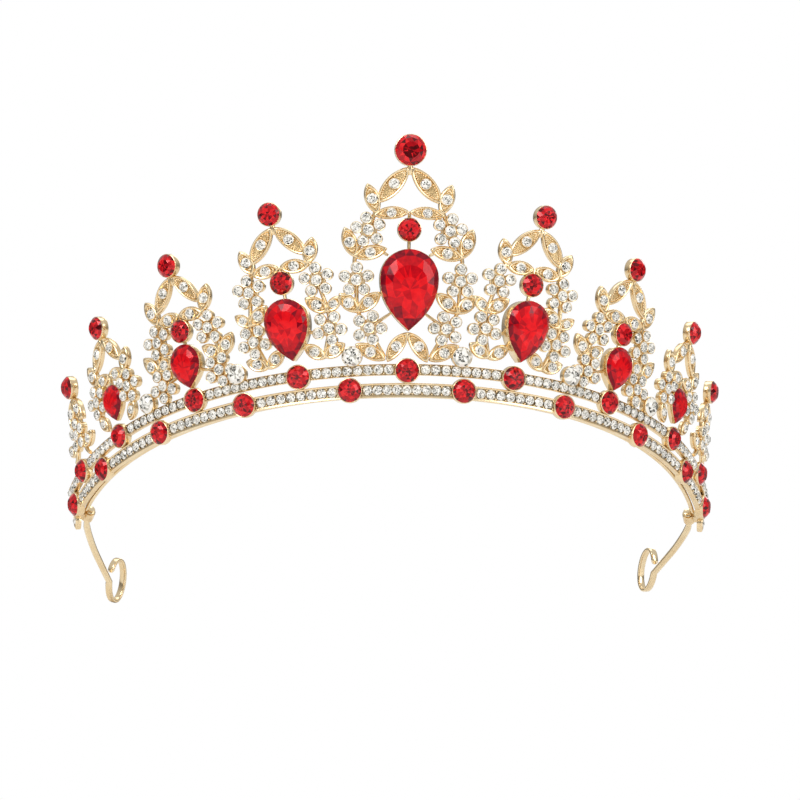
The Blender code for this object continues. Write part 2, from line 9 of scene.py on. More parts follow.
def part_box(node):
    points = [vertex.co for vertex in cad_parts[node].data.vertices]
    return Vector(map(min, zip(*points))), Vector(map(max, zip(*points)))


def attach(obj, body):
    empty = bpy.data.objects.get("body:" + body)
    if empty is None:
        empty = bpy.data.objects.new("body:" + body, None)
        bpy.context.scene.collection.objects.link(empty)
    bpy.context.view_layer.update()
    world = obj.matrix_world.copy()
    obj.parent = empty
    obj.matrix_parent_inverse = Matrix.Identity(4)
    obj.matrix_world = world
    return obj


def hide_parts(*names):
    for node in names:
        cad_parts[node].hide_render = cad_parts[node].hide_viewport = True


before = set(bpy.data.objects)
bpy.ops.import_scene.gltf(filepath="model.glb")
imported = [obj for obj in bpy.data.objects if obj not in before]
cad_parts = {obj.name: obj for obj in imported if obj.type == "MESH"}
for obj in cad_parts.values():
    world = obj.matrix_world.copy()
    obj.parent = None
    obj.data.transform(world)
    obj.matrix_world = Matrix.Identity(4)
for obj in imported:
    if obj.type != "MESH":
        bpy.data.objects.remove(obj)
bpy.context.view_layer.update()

MM = 0.001

# ---- The band's form -------------------------------------------------------------------------
# It follows the CAD. Its rails are a little narrower, its rim wire a little longer, its knuckles
# and the arms' heads a little smaller and the arms' bends a little rounder, all by less than half
# a millimetre.
BAND_RADIUS = 77.0                    # the band's round, seen from above
FLARE = math.radians(5.0)             # how far it leans out
ARCH_RADIUS = 236.0                   # the rails' arch in the flat pattern
UPPER_RAIL = (-1.05, 1.5)             # lower and upper edge
UPPER_SEEDS = 0.25                    # the line through the upper rail's small stones
UPPER_CHANNEL = 1.04                  # half width of the channel that they stand in
LOWER_RAIL = (-5.95, -2.75)
LOWER_LINE = -4.05                    # the line through the lower rail's red stones
LOWER_SEEDS = -4.3
LOWER_CHANNEL = 1.06
RAIL_DEPTH = 1.3
RAIL_END = 106.2
RAIL_STEPS = 160
CHANNEL_FLOOR = 9                     # the place of the channel's floor in a rail's section
CREST_STATIONS = (0.0, 24.1, 49.8, 74.5, 93.4)
CREST_LEANS = tuple(math.radians(a) for a in (0.0, 3.5, -1.2, -4.4, -9.0))  # outward
CREST_TILT = math.radians(0.6)        # every crest leans a little to the right, as soldered
LOWER_STATIONS = (12.85, 37.7, 61.5, 84.1, 102.2)
ACCENTS = ((11.9, 3.45), (38.1, 3.1), (63.0, 3.3))  # large clear stones: station and height
END_LEAF = ((-1.5, -5.0), (0.2, -8.1))  # base and tip of the tail at each end
RIM_WIRE = (-5.5, -0.95)              # height and depth of its centre
RIM_WIRE_RADIUS = 0.5
RIM_WIRE_END = 102.2
RIM_WIRE_STEPS = 120
KNUCKLE_LINE = (-5.3, -2.2)           # height and depth of the hinge axis
KNUCKLE_SPAN = (103.6, 106.8)
KNUCKLE_RADIUS = 1.35
KNUCKLE_BORE = 0.9
KNUCKLE_CHAMFER = 0.12
SOLDER_BLOCK = (0.2, -0.7, 1.2)       # the block behind the knuckle: start, bottom and top
ARM_PIN = 0.58                        # radius of the arm's end inside the knuckle
ARM_BODY = 0.8                        # radius of the arm behind it
ARM_HEAD = (0.45, 1.1)                # length and radius of the upset head
ARM_PLAY = 0.35
# the arm's bends from the knuckle on, as (inward, back, up)
ARM_RUN = ((0.1, 2.6, -1.6), (0.8, 5.4, -3.8), (2.0, 8.4, -6.7), (3.7, 11.4, -10.0),
           (5.5, 14.2, -13.4))
ARM_STEPS = 8                         # steps to a bend
FLAT_STEPS = 12                       # the steps over which wire turns into strip
ARM_SWING = {-1: 0.0, 1: math.radians(17.0)}  # the right arm rests swung towards the head
LOOP_ALONG = (-0.08, 0.25, -1.0)      # the end loop's long direction, as (inward, back, up)
LOOP_ACROSS = (0.56, 0.83, 0.0)       # and its short direction
LOOP_HALF = (4.9, 2.9)                # half length and half width
LOOP_STRIP = (1.7, 0.8)               # width and thickness
LOOP_TURN = math.radians(335.0)       # how much of the round its strip covers
LOOP_STEPS = 64

# ---- Settings and stones ---------------------------------------------------------------------
RED_RADIUS = 2.6                      # visible radius of the round red stones
TOP_RADIUS = 3.5                      # and of the one on the centre crest
ACCENT_RADIUS = 2.2
SEED_RADIUS = 1.22                    # the small stones in flowers,
RAIL_SEED_RADIUS = 1.1                # rails
LEAF_SEED_RADIUS = 1.2                # and leaves
RAIL_PITCH = 2.27                     # about the spacing of the rails' small stones
SEED_FACETS = 8                       # facets round a small stone's table,
RED_FACETS = 12                       # a round red stone's
PEAR_FACETS = 16                      # and a pear stone's
CUP_RIM = 1.8
RAIL_LIP = 0.22                       # how far a bezel shows round its stone: on the rails,
CREST_LIP = 0.1                       # on the crests,
PEAR_LIP = 0.05                       # and round the pear stones
GIRDLE_SINK = 0.02                    # how far a stone's girdle lies under its bezel's rim,
PETAL_SINK = 0.06                     # under a petal's
RAIL_SEED_SINK = 0.16                 # and under a rail's top face
ROUND_RISE = 0.42                     # a round stone's crown, as a share of its radius
PEAR_RISE = 0.34                      # a pear stone's, as a share of its half width
PEAR_RIM = (1.5, -3.7, 4.0)           # a pear bezel's rim: slope and start by half width, and most
DROP_POWER = 2.2                      # how full a pear's flanks are
PETALS = 5
PETAL_PITCH = 2.72                    # from a flower's middle stone to its petals
PETAL_RIM = 1.55
PETAL_LIP = 0.15
LEAF_WIDTH = 3.3                      # where a layout gives none
LEAF_POINT = 1.55                     # how pointed a leaf's ends are
GRAIN_PITCH = 0.62
LEAF_GRAIN = (0.76, 0.96, 0.27)       # inset, height and radius of the grains in a leaf
RAIL_GRAIN = (0.86, 0.1, 0.24)        # distance from the line, sink and radius of a rail's grains
SPINE_BAR = 0.46                      # half widths of the crests' bars
STRUT_BAR = 0.38
NECK_BAR = 0.6
BAR_LIFT = (0.62, 0.58)               # height of a bar's middle and half its depth
BAR_TAPER = 0.75                      # a bar's ends, as a share of its width

# ---- How many sides round things are drawn with ----------------------------------------------
BEAD_SIDES = 7
BAR_SIDES = 10
COLLET_SIDES = 14
WIRE_SIDES = 16
PLATE_SIDES = 20
TUBE_SIDES = 28
CUP_SIDES = 32
PEAR_CUP_SIDES = 48

# ---- The crests' layouts ---------------------------------------------------------------------
# Each layout: the top stone's height, the second stone's height, the pear stone (centre height,
# half width, length), then the right half's spine, leaves (base and tip, and where they differ
# width, bend and stone's shift), flowers (centre, turn in degrees) and struts (start, end).
CENTRE_CREST = {
    "top": 49.0,
    "second": 31.3,
    "pear": (20.4, 6.5, 18.1),
    "spine": ((6.7, 36.8), (8.7, 31.2), (11.5, 25.4), (11.2, 20.1), (10.9, 13.2), (8.4, 9.4),
              (7.0, 6.5), (5.0, 3.0)),
    "leaves": (((0.5, 45.0), (6.6, 37.4), 3.9, 0.0, -0.4), ((6.9, 35.0), (8.9, 41.3)),
               ((7.4, 34.5), (0.2, 35.2), 2.9, -0.2), ((11.6, 25.3), (13.7, 31.6)),
               ((11.6, 25.3), (4.9, 27.0)), ((10.9, 13.0), (14.8, 16.9)),
               ((10.9, 13.0), (6.2, 17.2)), ((5.0, 2.4), (11.2, 5.7)),
               ((4.3, 2.1), (0.1, 8.3), 3.3, -0.3)),
    "flowers": (((8.7, 31.2), 80.0), ((11.2, 20.1), 90.0), ((8.4, 9.4), 34.0)),
    "struts": (((8.4, 9.4), (3.6, 12.8)), ((6.4, 26.6), (4.4, 25.6)), ((7.2, 16.6), (5.4, 16.9)),
               ((0.0, 34.9), (0.0, 33.0)), ((0.0, 29.6), (0.0, 26.6))),
}
FIRST_CREST = {
    "top": 36.9,
    "second": 21.3,
    "pear": (12.6, 5.0, 13.9),
    "spine": ((6.3, 26.2), (7.6, 20.6), (8.9, 13.6), (8.6, 9.6), (7.2, 5.5), (6.4, 3.1)),
    "leaves": (((0.4, 33.7), (6.2, 26.7), 3.7, 0.15, -0.4), ((6.3, 24.6), (8.3, 30.0)),
               ((6.3, 24.3), (0.2, 24.8)), ((8.8, 13.3), (12.0, 16.1)), ((8.8, 13.3), (4.6, 17.0)),
               ((6.6, 3.4), (11.2, 5.6)), ((6.4, 3.2), (2.6, 6.6))),
    "flowers": (((7.7, 20.6), 90.0), ((8.6, 9.6), 55.0)),
    "struts": (((8.6, 9.6), (3.2, 9.2)), ((0.0, 25.2), (0.0, 23.0)), ((0.0, 19.6), (0.0, 17.0))),
}
SECOND_CREST = {
    "top": 31.1,
    "second": 15.9,
    "pear": (8.75, 4.0, 9.9),
    "spine": ((6.0, 20.8), (7.1, 15.0), (8.6, 8.6), (8.0, 5.2), (6.6, 3.0)),
    "leaves": (((0.4, 28.4), (5.8, 21.4), 3.5, 0.2, -0.5), ((6.2, 19.0), (8.6, 24.6)),
               ((6.0, 18.8), (0.2, 19.6)), ((8.7, 8.0), (12.2, 12.6)), ((8.6, 8.2), (4.6, 11.2))),
    "flowers": (((7.1, 15.0), 80.0), ((7.8, 5.2), 60.0)),
    "struts": (((7.8, 5.2), (2.6, 6.4)), ((0.0, 19.4), (0.0, 17.6)), ((0.0, 14.2), (0.0, 12.0))),
}
THIRD_CREST = {
    "top": 25.7,
    "second": None,
    "pear": (8.6, 3.4, 8.3),
    "spine": ((5.3, 16.0), (6.4, 9.9), (6.4, 5.4), (5.8, 3.0)),
    "leaves": (((0.4, 23.0), (5.0, 16.7), 3.3, 0.2, -0.4), ((5.4, 13.8), (7.8, 18.6)),
               ((5.2, 13.6), (0.2, 14.2)), ((6.6, 6.4), (4.4, 2.6))),
    "flowers": (((6.2, 9.9), 75.0),),
    "struts": (((6.2, 9.9), (2.4, 9.4)), ((0.0, 14.0), (0.0, 11.6))),
}
FOURTH_CREST = {
    "top": 20.1,
    "second": None,
    "pear": None,
    "spine": ((0.0, 17.6), (2.0, 13.2), (1.2, 8.4), (2.9, 4.4), (4.3, 3.0)),
    "leaves": (((0.4, 17.2), (3.6, 11.6)), ((3.2, 5.0), (7.0, 7.4))),
    "flowers": (((0.0, 8.6), 90.0),),
    "struts": (),
}
CRESTS = (CENTRE_CREST, FIRST_CREST, SECOND_CREST, THIRD_CREST, FOURTH_CREST)

random.seed(7)


# ---- The flat pattern and its place in the frame ---------------------------------------------
def frame_origin():
    """Where the pattern's axis and rail line sit in the frame, from the rim wire's box."""
    low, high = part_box("rim_wire")
    up, out = RIM_WIRE
    reach = BAND_RADIUS + up * math.sin(FLARE) + out * math.cos(FLARE) + RIM_WIRE_RADIUS
    top = up * math.cos(FLARE) - out * math.sin(FLARE) + RIM_WIRE_RADIUS
    return Vector((0.0, low.y + reach * MM, high.z - top * MM))


ORIGIN = frame_origin()


class Station:
    """A place on the band's arc, with its own across and up directions in the flat pattern."""

    def __init__(self, station, lean=0.0, side=1):
        turn = station / ARCH_RADIUS
        self.foot = (ARCH_RADIUS * math.sin(turn), ARCH_RADIUS * (math.cos(turn) - 1.0))
        self.angle = turn + lean
        self.side = side

    def flat(self, across, up):
        cos_a = math.cos(self.angle)
        sin_a = math.sin(self.angle)
        u = self.foot[0] + across * cos_a + up * sin_a
        v = self.foot[1] - across * sin_a + up * cos_a
        return (self.side * u, v)

    def bent(self, across, up, out):
        """A point of a casting that follows the band's curve."""
        return curve(*self.flat(across, up), out)

    def seat(self, across, up):
        """A function that places points round (across, up) on a rigid, untwisted seat."""
        origin = self.bent(across, up, 0.0)
        normal = (self.bent(across, up, 1.0) - origin).normalized()
        up_axis = self.bent(across, up + 0.01, 0.0) - origin
        up_axis = (up_axis - normal * up_axis.dot(normal)).normalized()
        right = up_axis.cross(normal) * self.side

        def place(x, y, z):
            return origin + (right * x + up_axis * y + normal * z) * MM
        return place


def curve(u, v, w):
    """Take a point of the flat pattern to its place on the flared band, in metres."""
    theta = u / BAND_RADIUS
    radius = BAND_RADIUS + v * math.sin(FLARE) + w * math.cos(FLARE)
    height = v * math.cos(FLARE) - w * math.sin(FLARE)
    return ORIGIN + Vector((radius * math.sin(theta), -radius * math.cos(theta), height)) * MM


# ---- Mesh building ---------------------------------------------------------------------------
class Shell:
    """A piece's points, faces and each face's material number, as they are collected."""

    def __init__(self):
        self.points = []
        self.faces = []
        self.tones = []

    def point(self, place):
        self.points.append(place)
        return len(self.points) - 1

    def ring(self, places):
        return [self.point(place) for place in places]

    def face(self, corners, tone=0):
        self.faces.append(corners)
        self.tones.append(tone)

    def skin(self, before, after, tone=0):
        """Quads between two rings of the same count."""
        count = len(before)
        for k in range(count):
            n = (k + 1) % count
            self.face((before[k], before[n], after[n], after[k]), tone)

    def loft(self, rings, tones=None, caps=(0, 0), closed=False):
        """Join rings in order, with capped ends or with the last joined to the first."""
        made = [self.ring(ring) for ring in rings]
        pairs = list(zip(made, made[1:]))
        if closed:
            pairs.append((made[-1], made[0]))
        for k, (before, after) in enumerate(pairs):
            self.skin(before, after, tones[k] if tones else 0)
        if not closed:
            self.face(list(reversed(made[0])), caps[0])
            self.face(made[-1], caps[1])

    def zigzag(self, before, after, tone):
        """Facets between two rings turned half a step from each other; tone(k) is the k-th's."""
        count = len(before)
        for k in range(count):
            n = (k + 1) % count
            self.face((before[k], before[n], after[k]), tone(2 * k))
            self.face((after[k], before[n], after[n]), tone(2 * k + 1))

    def piece(self, name, materials, body, nodes, smooth=math.radians(38.0)):
        """Make the object, face its shells outward and put it on its body."""
        mesh = bpy.data.meshes.new(name)
        mesh.from_pydata(self.points, [], self.faces)
        for made in materials:
            mesh.materials.append(made)
        mesh.polygons.foreach_set("material_index", self.tones)
        bm = bmesh.new()
        bm.from_mesh(mesh)
        bmesh.ops.recalc_face_normals(bm, faces=bm.faces)
        bm.to_mesh(mesh)
        bm.free()
        if smooth:
            mesh.shade_smooth()
            mesh.set_sharp_from_angle(angle=smooth)
        obj = bpy.data.objects.new(name, mesh)
        bpy.context.scene.collection.objects.link(obj)
        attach(obj, body)
        if nodes:
            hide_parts(*nodes)


def circle(radius, count):
    return [(radius * math.cos(2.0 * math.pi * k / count),
             radius * math.sin(2.0 * math.pi * k / count)) for k in range(count)]


def smooth_run(points, steps):
    """A Catmull-Rom curve through the points, sampled evenly between each pair."""
    padded = [2.0 * points[0] - points[1], *points, 2.0 * points[-1] - points[-2]]
    run = []
    for a, b, c, d in zip(padded, padded[1:], padded[2:], padded[3:]):
        for k in range(steps):
            t = k / steps
            run.append(0.5 * (2.0 * b + (c - a) * t + (2.0 * a - 5.0 * b + 4.0 * c - d) * t * t
                              + (3.0 * b - a - 3.0 * c + d) * t ** 3))
    run.append(points[-1])
    return run


def turned(shell, place, profile, count):
    """A turned ring round a seat's middle, from (radius, out) pairs."""
    shell.loft([[place(x, y, z) for x, y in circle(r, count)] for r, z in profile], closed=True)


def bead(shell, place, x, y, z, radius):
    """A small grain of metal: a low dome with its skirt sunk into the casting."""
    levels = ((0.95, -0.8), (1.0, 0.0), (0.78, 0.6), (0.32, 0.92))
    rings = []
    for share, lift in levels:
        edge = circle(radius * share, BEAD_SIDES)
        rings.append([place(x + a, y + b, z + lift * radius) for a, b in edge])
    shell.loft(rings)


# ---- Stones ----------------------------------------------------------------------------------
# A glass's three copies are painted light and shade: each facet takes a bright, middle or dark
# flat colour in place of the reflections inside a foil-backed stone.
BRIGHT, MIDDLE, DARK = 0, 1, 2        # a glass's three materials, in the order of its tuple


def shuffled(weights):
    """A facet's tone, drawn by weight."""
    return lambda k: random.choices((BRIGHT, MIDDLE, DARK), weights)[0]


def rays(first, second):
    """Facet tones that take turns between two weightings."""
    return lambda k: random.choices((BRIGHT, MIDDLE, DARK), second if k % 2 else first)[0]


# Per ring, from the table out, the weights of painted light and shade: bright and dark rays, and
# brighter or darker rings.
CLEAR_TONES = (rays((8, 2, 0), (2, 2, 6)), rays((9, 2, 0), (3, 3, 4)), rays((8, 3, 0), (4, 4, 2)),
               shuffled((7, 4, 1)))
RED_TONES = (shuffled((1, 3, 4)), rays((5, 4, 1), (3, 4, 3)), rays((5, 4, 1), (3, 5, 2)),
             shuffled((2, 5, 3)))
TOP_TONES = (shuffled((0, 1, 6)), rays((2, 4, 4), (1, 3, 6)), rays((4, 4, 1), (3, 5, 2)),
             shuffled((3, 5, 1)))
PEAR_TONES = (shuffled((8, 2, 0)), rays((8, 2, 0), (5, 5, 0)), rays((4, 6, 1), (2, 6, 3)),
              shuffled((0, 4, 6)))


def cut_stone(shell, place, outline, levels, tones, depth, count):
    """A faceted crown over a pointed back, each facet in a tone of painted light and shade. Levels
    run from inside the table to the girdle.

    The girdle has twice the points of the other rings, as a brilliant's has.
    """
    middle = shell.point(place(*outline(0.0, 0.0), levels[0][1]))
    last = len(levels) - 1
    rings = []
    for k, (share, z) in enumerate(levels):
        turn = 0.5 * ((last - k) % 2)
        number = 2 * count if k == last else count
        rings.append(shell.ring([place(*outline(share, (j + turn) / number), z)
                                 for j in range(number)]))
    inner = rings[0]
    for k in range(count):
        shell.face((middle, inner[k], inner[(k + 1) % count]), tones[0](k))
    for k in range(last - 1):
        after = rings[k + 1]
        if (last - k) % 2:
            after = after[1:] + after[:1]
        shell.zigzag(rings[k], after, tones[k + 1])
    crown, girdle = rings[-2:]
    for k in range(count):
        left, middle_point, right = (girdle[(2 * k + j) % len(girdle)] for j in range(3))
        shell.face((crown[k], left, middle_point), tones[-1](3 * k))
        shell.face((crown[k], middle_point, right), tones[-1](3 * k + 1))
        shell.face((crown[k], right, crown[(k + 1) % count]), tones[-1](3 * k + 2))
    culet = shell.point(place(*outline(0.0, 0.0), levels[-1][1] - depth))
    for k, corner in enumerate(girdle):
        shell.face((girdle[(k + 1) % len(girdle)], corner, culet), MIDDLE)


def round_cut(shell, place, x, y, radius, girdle, tones=CLEAR_TONES, count=SEED_FACETS):
    """A round brilliant whose girdle is at the given height."""
    turn = random.random()
    rise = ROUND_RISE * radius

    def outline(share, t):
        angle = 2.0 * math.pi * (t + turn)
        return (x + radius * share * math.cos(angle), y + radius * share * math.sin(angle))
    levels = ((0.22, girdle + rise), (0.54, girdle + rise), (0.8, girdle + 0.55 * rise),
              (1.0, girdle))
    cut_stone(shell, place, outline, levels, tones, 0.45 * radius, count)


def pear_point(half, length, t):
    """A pear's outline: a half circle over two flanks that meet at the tip; t runs from 0 to 1."""
    t = t % 1.0
    if t <= 0.5:
        angle = 2.0 * math.pi * t
        return (half * math.cos(angle), half * math.sin(angle))
    s = (t - 0.5) * 4.0
    q = s if s <= 1.0 else 2.0 - s
    x = half * (1.0 - q ** DROP_POWER)
    return (-x if s <= 1.0 else x, -(length - half) * q)


def pear_cut(shell, place, half, length, girdle):
    """A pear-shaped cut stone whose facets run to a point a little below its middle."""
    focus = -0.14 * length
    rise = PEAR_RISE * half

    def outline(share, t):
        x, y = pear_point(half, length, t)
        return (x * share, focus + (y - focus) * share)
    levels = ((0.3, girdle + rise), (0.6, girdle + 0.97 * rise), (0.84, girdle + 0.6 * rise),
              (1.0, girdle))
    cut_stone(shell, place, outline, levels, PEAR_TONES, girdle - 0.75, PEAR_FACETS)


# ---- Settings --------------------------------------------------------------------------------
# The second is the field gold, whose darker tints are painted shade for the sunken fields.
GOLD, SHADED_FIELD = 0, 1                    # a casting's two materials, in the order of GOLDS


def cup(shell, place, radius, lip):
    """A round bezel cup: a rolled lip, a straight wall, a small foot step and a pierced floor."""
    outer = radius + lip
    rim = CUP_RIM
    profile = ((outer - 0.12, 0.0), (outer - 0.05, 0.22), (outer, 0.34), (outer, rim - 0.16),
               (outer - 0.06, rim - 0.03), (outer - 0.16, rim + 0.02), (outer - 0.28, rim - 0.04),
               (outer - 0.34, rim - 0.5), (0.62 * radius, 0.45), (0.45 * radius, 0.45),
               (0.45 * radius, 0.0))
    turned(shell, place, profile, CUP_SIDES)


def collet(shell, place, x, y, radius, rim):
    """A petal's collet: a thin ring with an open back."""
    outer = radius + PETAL_LIP
    profile = ((outer - 0.06, 0.0), (outer, 0.4), (outer - 0.01, rim - 0.08), (outer - 0.07, rim),
               (radius - 0.05, rim - 0.05), (radius - 0.12, rim - 0.4), (0.4 * radius, 0.4),
               (0.4 * radius, 0.0))
    turned(shell, lambda a, b, c: place(x + a, y + b, c), profile, COLLET_SIDES)


def pear_cup(shell, place, half, length, rim):
    """A pear-shaped bezel with a rolled lip and an open back that leaves a ledge."""
    def ring(grow, z):
        points = []
        for k in range(PEAR_CUP_SIDES):
            a, b = pear_point(half + grow, length + 2.6 * grow, k / PEAR_CUP_SIDES)
            points.append(place(a, b, z))
        return points
    wall = PEAR_LIP
    profile = ((wall - 0.1, 0.0), (wall, 0.3), (wall, rim - 0.18), (wall - 0.07, rim),
               (wall - 0.18, rim + 0.02), (wall - 0.3, rim - 0.04), (wall - 0.36, rim - 0.4),
               (-0.34 * half, 0.45), (-0.42 * half, 0.45), (-0.42 * half, 0.0))
    shell.loft([ring(grow, z) for grow, z in profile], closed=True)


def leaf(shell, seeds, station, flip, base, tip, width=LEAF_WIDTH, bend=0.0, shift=0.0):
    """A pointed leaf with a raised rim, a grained field with a row of grains and a small stone.

    Bend bows its middle line to the left of base-to-tip, and shift moves its stone to the tip.
    Flip draws it in the crest's left half.
    """
    sign = -1.0 if flip else 1.0
    length = math.dist(base, tip)
    along = ((tip[0] - base[0]) / length, (tip[1] - base[1]) / length)
    half = min(width, 0.62 * length) / 2.0
    reach = 0.5 * length + 0.25
    side_points = max(9, round(length / 0.4))

    def place(x, y, z):
        y += bend * (1.0 - (x / reach) ** 2)
        a = base[0] + (x + 0.5 * length) * along[0] - y * along[1]
        b = base[1] + (x + 0.5 * length) * along[1] + y * along[0]
        return station.bent(sign * a, b, z)

    def outline(t, inset):
        """A point of the leaf's edge, drawn in by inset; t runs once round from the base."""
        way = 1.0 if t < 0.5 else -1.0
        angle = 2.0 * math.pi * (t % 0.5)
        x = -reach * math.cos(angle) * way
        b = half * math.sin(angle) ** LEAF_POINT * way
        return (x * (1.0 - 1.9 * inset / reach), b * (1.0 - inset / half))

    def ring(inset, z):
        count = 2 * side_points
        return [place(*outline(k / count, inset), z) for k in range(count)]
    levels = ((0.06, 0.0), (0.0, 0.3), (0.0, 1.0), (0.1, 1.24), (0.27, 1.34), (0.45, 1.27),
              (0.57, 0.98), (0.7, 0.9))
    # The field's faces and top cap take the field gold: painted shade for the sunken field.
    shell.loft([ring(inset, z) for inset, z in levels], tones=[GOLD] * 6 + [SHADED_FIELD],
               caps=(GOLD, SHADED_FIELD))
    radius = min(LEAF_SEED_RADIUS, 0.74 * half)
    rim = 1.26
    collar = ((radius + 0.14, 0.7), (radius + 0.13, 1.2), (radius + 0.05, 1.3),
              (radius - 0.05, rim), (radius - 0.12, 0.8))
    turned(shell, lambda a, b, c: place(shift + a, b, c), collar, COLLET_SIDES)
    inset, height, grain = LEAF_GRAIN
    grains = round(2.2 * length / GRAIN_PITCH)
    for k in range(grains):
        x, y = outline(k / grains, inset)
        if math.hypot(x - shift, y) > radius + 0.3:
            bead(shell, place, x, y, height, grain)
    round_cut(seeds, lambda a, b, c: place(shift + a, b, c), 0.0, 0.0, radius, rim)


def flower(shell, seeds, station, centre, turn, flip):
    """Five petal stones round a middle one, each in its own collet, on a small round plate."""
    sign = -1.0 if flip else 1.0
    place = station.seat(sign * centre[0], centre[1])
    spots = [(0.0, 0.0, 0.16)]
    for petal in range(PETALS):
        angle = math.radians(turn + 360.0 / PETALS * petal + random.uniform(-4.0, 4.0))
        spots.append((sign * PETAL_PITCH * math.cos(angle), PETAL_PITCH * math.sin(angle),
                      random.uniform(-0.08, 0.06)))
    plate = ((1.9, 0.1), (2.0, 0.25), (2.0, 0.65), (1.85, 0.8), (0.5, 0.8), (0.5, 0.1))
    turned(shell, place, plate, PLATE_SIDES)
    for x, y, lift in spots:
        rim = PETAL_RIM + lift
        collet(shell, place, x, y, SEED_RADIUS, rim)
        round_cut(seeds, place, x, y, SEED_RADIUS, rim - PETAL_SINK)


def bar(shell, station, flip, points, radius):
    """A rounded bar on a crest along a smooth path of (across, up) points, slimmer at its ends."""
    sign = -1.0 if flip else 1.0
    middle, rise = BAR_LIFT
    points = [Vector(point) for point in points]
    if len(points) > 2:
        run = smooth_run(points, 5)
    else:
        run = [points[0].lerp(points[1], k / 4.0) for k in range(5)]
    rings = []
    last = len(run) - 1
    for k, point in enumerate(run):
        ahead = (run[min(k + 1, last)] - run[max(k - 1, 0)]).normalized()
        side = Vector((-ahead.y, ahead.x))
        slim = BAR_TAPER if k in (0, last) else 1.0
        ring = []
        for j in range(BAR_SIDES):
            angle = 2.0 * math.pi * j / BAR_SIDES
            spread = radius * slim * math.cos(angle)
            z = middle + rise * math.sin(angle) * slim
            at = point + side * spread
            ring.append(station.bent(sign * at.x, at.y, z))
        rings.append(ring)
    shell.loft(rings)


# ---- Materials -------------------------------------------------------------------------------
def shader(name, rough, metallic=0.0):
    """A material with a Principled shader: itself, its nodes, its links and that shader."""
    made = bpy.data.materials.new(name)
    made.use_nodes = True
    principled = made.node_tree.nodes["Principled BSDF"]
    principled.inputs["Roughness"].default_value = rough
    principled.inputs["Metallic"].default_value = metallic
    return made, made.node_tree.nodes, made.node_tree.links, principled


def noise(nodes, links, scale, detail):
    """A noise value in the piece's own space."""
    coords = nodes.new("ShaderNodeTexCoord")
    texture = nodes.new("ShaderNodeTexNoise")
    texture.inputs["Scale"].default_value = scale
    texture.inputs["Detail"].default_value = detail
    links.new(coords.outputs["Object"], texture.inputs["Vector"])
    return texture.outputs["Fac"]


def ramp(nodes, links, value, stops):
    """A value turned into a colour by (position, colour) stops."""
    made = nodes.new("ShaderNodeValToRGB")
    elements = made.color_ramp.elements
    while len(elements) < len(stops):
        elements.new(0.5)
    for element, (place, colour) in zip(elements, stops):
        element.position = place
        element.color = (*colour, 1.0)
    links.new(value, made.inputs["Fac"])
    return made.outputs["Color"]


def span(nodes, links, value, low, high, start=0.0):
    """A value from start to 1 spread over low to high."""
    made = nodes.new("ShaderNodeMapRange")
    made.inputs["From Min"].default_value = start
    made.inputs["To Min"].default_value = low
    made.inputs["To Max"].default_value = high
    links.new(value, made.inputs["Value"])
    return made.outputs["Result"]


def bump(nodes, links, principled, height, strength, distance):
    """Surface relief from a height value; distance is in metres."""
    made = nodes.new("ShaderNodeBump")
    made.inputs["Strength"].default_value = strength
    made.inputs["Distance"].default_value = distance
    links.new(height, made.inputs["Height"])
    links.new(made.outputs["Normal"], principled.inputs["Normal"])


def gold(name, light, deep, rough, grain, depth, grain_scale):
    """Plated gold: a slow drift between two tints, uneven polish and a fine cast grain."""
    made, nodes, links, principled = shader(name, rough[0], 1.0)
    drift = noise(nodes, links, 260.0, 2.0)
    links.new(ramp(nodes, links, drift, ((0.3, deep), (0.7, light))),
              principled.inputs["Base Color"])
    polish = noise(nodes, links, 700.0, 3.0)
    links.new(span(nodes, links, polish, *rough), principled.inputs["Roughness"])
    bump(nodes, links, principled, noise(nodes, links, grain_scale, 2.0), grain, depth)
    return made


def painted_facet_glass(name, core, edge, rough, sheen, coat=0.6):
    """Glass with painted light and shade: one tone of a foil-backed stone's facets as a flat
    colour that drifts a little inside each facet, under a clear coat.
    """
    made, nodes, links, principled = shader(name, rough, sheen)
    cloud = noise(nodes, links, 900.0, 1.0)
    links.new(ramp(nodes, links, cloud, ((0.35, edge), (0.65, core))),
              principled.inputs["Base Color"])
    principled.inputs["Specular IOR Level"].default_value = 0.1
    principled.inputs["Coat Weight"].default_value = coat
    principled.inputs["Coat Roughness"].default_value = 0.02
    principled.inputs["Coat IOR"].default_value = 1.45
    bump(nodes, links, principled, noise(nodes, links, 500.0, 0.0), 0.08, 0.0002)
    return made


CAST_GOLD = gold("cast_gold", light=(0.88, 0.72, 0.47), deep=(0.78, 0.58, 0.33),
                 rough=(0.16, 0.3), grain=0.25, depth=0.00006, grain_scale=2600.0)
# Field gold: its darker tints are painted shade for the sunken leaf fields and rail channels; its
# coarser grain and rougher polish are the field's own.
SHADED_FIELD_GOLD = gold("shaded_field_gold", light=(0.72, 0.54, 0.29), deep=(0.52, 0.36, 0.17),
                  rough=(0.25, 0.45), grain=0.9, depth=0.00018, grain_scale=3600.0)
DRAWN_GOLD = gold("drawn_gold", light=(0.88, 0.72, 0.47), deep=(0.80, 0.62, 0.37),
                  rough=(0.12, 0.22), grain=0.1, depth=0.00004, grain_scale=1500.0)
